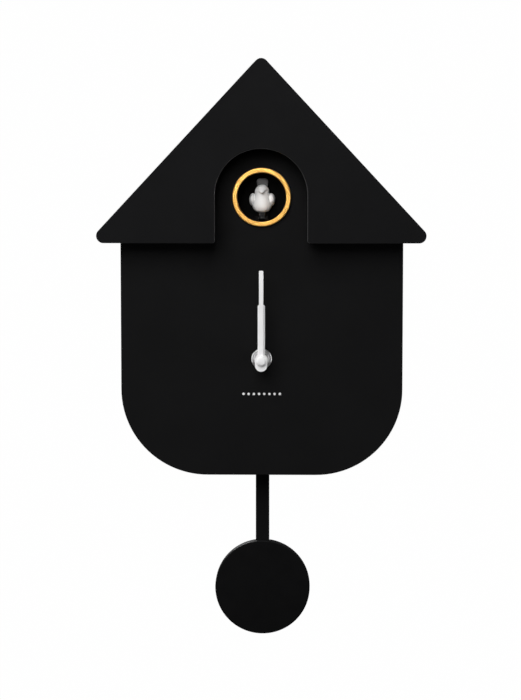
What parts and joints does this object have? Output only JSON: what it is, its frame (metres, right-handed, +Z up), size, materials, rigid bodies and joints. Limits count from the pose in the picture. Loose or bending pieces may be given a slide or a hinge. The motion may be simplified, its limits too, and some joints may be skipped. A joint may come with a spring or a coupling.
{
  "type": "cuckoo clock",
  "caption": "Gable-roofed wall clock with an arched notch, a round window with a sliding bird, straight bar hands on a plain dial, and a swinging disc pendulum.",
  "frame": {"origin": "point on the wall plane where the hanging screw carries the clock, at the upper end of the keyhole", "axes": "+Z up, +Y into the wall, so the dial faces -Y, and +X to the right seen from the front"},
  "size_m": [0.2254, 0.08, 0.4069],
  "materials": {
    "roof": "soft-touch matte black",
    "body": "soft-touch matte black",
    "panel": "fine-grained black plastic",
    "inner_plastic": "moulded dark plastic",
    "grey_plastic": "moulded grey plastic",
    "gold": "brushed",
    "gear_brass": "machined",
    "steel": "bright zinc",
    "nut": "satin nickel",
    "hands": "satin white paint",
    "bird": "matte white",
    "beak": "matte off-white",
    "tail": "matte dark grey",
    "bob": "satin black",
    "rubber": "matte",
    "copper": "enamelled wire",
    "board": "solder mask",
    "cell": "printed sleeve",
    "cone": "pressed paper"
  },
  "bodies": {
    "case": {"roof_shell": "roof", "body_shell": "body", "back_cover": "panel", "roof_screws": "steel", "cover_screws": "steel", "wall_bumpers": "rubber", "hanger_plate": "steel", "hanger_rivets": "steel", "window_ring": "gold", "bird_tunnel": "body", "bird_guide": "grey_plastic", "bird_motor": "steel", "movement_front": "inner_plastic", "movement_rear": "inner_plastic", "case_screws": "steel", "dial_washer": "rubber", "hand_nut": "nut", "drive_stator": "steel", "drive_coil": "copper", "movement_board": "board", "pendulum_bracket": "inner_plastic", "pendulum_coil": "copper", "speaker_frame": "steel", "speaker_cone": "cone", "speaker_magnet": "steel", "sound_board": "board", "board_parts": "inner_plastic", "board_screws": "steel", "battery_tray": "inner_plastic", "battery_contacts": "steel", "battery_cells": "cell"},
    "bird": {"bird_rack": "inner_plastic", "bird_post": "inner_plastic", "bird_body": "bird", "bird_wings": "bird", "bird_beak": "beak", "bird_tail": "tail"},
    "bird_drive": {"bird_drive_gear": "gear_brass"},
    "motor_rotor": {"motor_gear": "gear_brass"},
    "hour": {"hour_wheel": "gear_brass", "hour_hand": "hands"},
    "minute": {"centre_arbor": "steel", "centre_wheel": "gear_brass", "minute_hand": "hands", "hand_cap": "hands"},
    "motion": {"motion_wheel": "gear_brass"},
    "third": {"third_wheel": "gear_brass"},
    "setter": {"set_shaft": "steel", "set_knob": "inner_plastic"},
    "pendulum": {"pendulum_hanger": "grey_plastic", "pendulum_magnet": "steel", "pendulum_rod": "bob", "bob_shell": "bob", "bob_weight": "steel", "bob_back": "bob", "bob_screws": "steel"},
    "door": {"battery_door": "panel"},
    "volume": {"volume_wheel": "inner_plastic"},
    "mode": {"mode_switch": "grey_plastic"},
    "test": {"test_button": "grey_plastic"}
  },
  "joints": [
    {"name": "bird_slide", "type": "slide", "parent": "case", "child": "bird", "axis": [0, -1, 0], "range_m": [0, 0.028]},
    {"name": "bird_drive_spin", "type": "hinge", "parent": "case", "child": "bird_drive", "pos_m": [0, -0.037, -0.0545], "axis": [1, 0, 0], "range_deg": [0, 357]},
    {"name": "motor_spin", "type": "hinge", "parent": "case", "child": "motor_rotor", "pos_m": [0, -0.037, -0.0695], "axis": [1, 0, 0], "range_deg": [-1427, 0]},
    {"name": "minute_spin", "type": "hinge", "parent": "case", "child": "minute", "pos_m": [0, -0.06, -0.146], "axis": [0, 1, 0], "continuous": true},
    {"name": "hour_spin", "type": "hinge", "parent": "case", "child": "hour", "pos_m": [0, -0.06, -0.146], "axis": [0, 1, 0], "continuous": true},
    {"name": "motion_spin", "type": "hinge", "parent": "case", "child": "motion", "pos_m": [-0.012, -0.05, -0.146], "axis": [0, 1, 0], "continuous": true},
    {"name": "third_spin", "type": "hinge", "parent": "case", "child": "third", "pos_m": [0, -0.042, -0.132], "axis": [0, 1, 0], "continuous": true},
    {"name": "set_spin", "type": "hinge", "parent": "case", "child": "setter", "pos_m": [0.016, -0.02, -0.146], "axis": [0, 1, 0], "continuous": true},
    {"name": "pendulum_swing", "type": "hinge", "parent": "case", "child": "pendulum", "pos_m": [0, -0.0256, -0.182], "axis": [0, 1, 0], "range_deg": [-8, 8]},
    {"name": "door_slide", "type": "slide", "parent": "case", "child": "door", "axis": [0, 1, 0], "range_m": [0, 0.025]},
    {"name": "volume_turn", "type": "hinge", "parent": "case", "child": "volume", "pos_m": [0.036, -0.0092, -0.066], "axis": [0, 0, 1], "range_deg": [-140, 140]},
    {"name": "mode_slide", "type": "slide", "parent": "case", "child": "mode", "axis": [1, 0, 0], "range_m": [-0.0018, 0.0018]},
    {"name": "test_press", "type": "slide", "parent": "case", "child": "test", "axis": [0, -1, 0], "range_m": [0, 0.0012], "stiffness_N_per_m": 400, "springref_m": -0.001}
  ],
  "couplings": [
    {"joint": "bird_drive_spin", "follows": "bird_slide", "rad_per_m": 222.22},
    {"joint": "motor_spin", "follows": "bird_slide", "rad_per_m": -888.89},
    {"joint": "hour_spin", "follows": "minute_spin", "ratio": 0.083333},
    {"joint": "motion_spin", "follows": "minute_spin", "ratio": -0.33333},
    {"joint": "third_spin", "follows": "minute_spin", "ratio": -6},
    {"joint": "set_spin", "follows": "minute_spin", "ratio": -3}
  ]
}
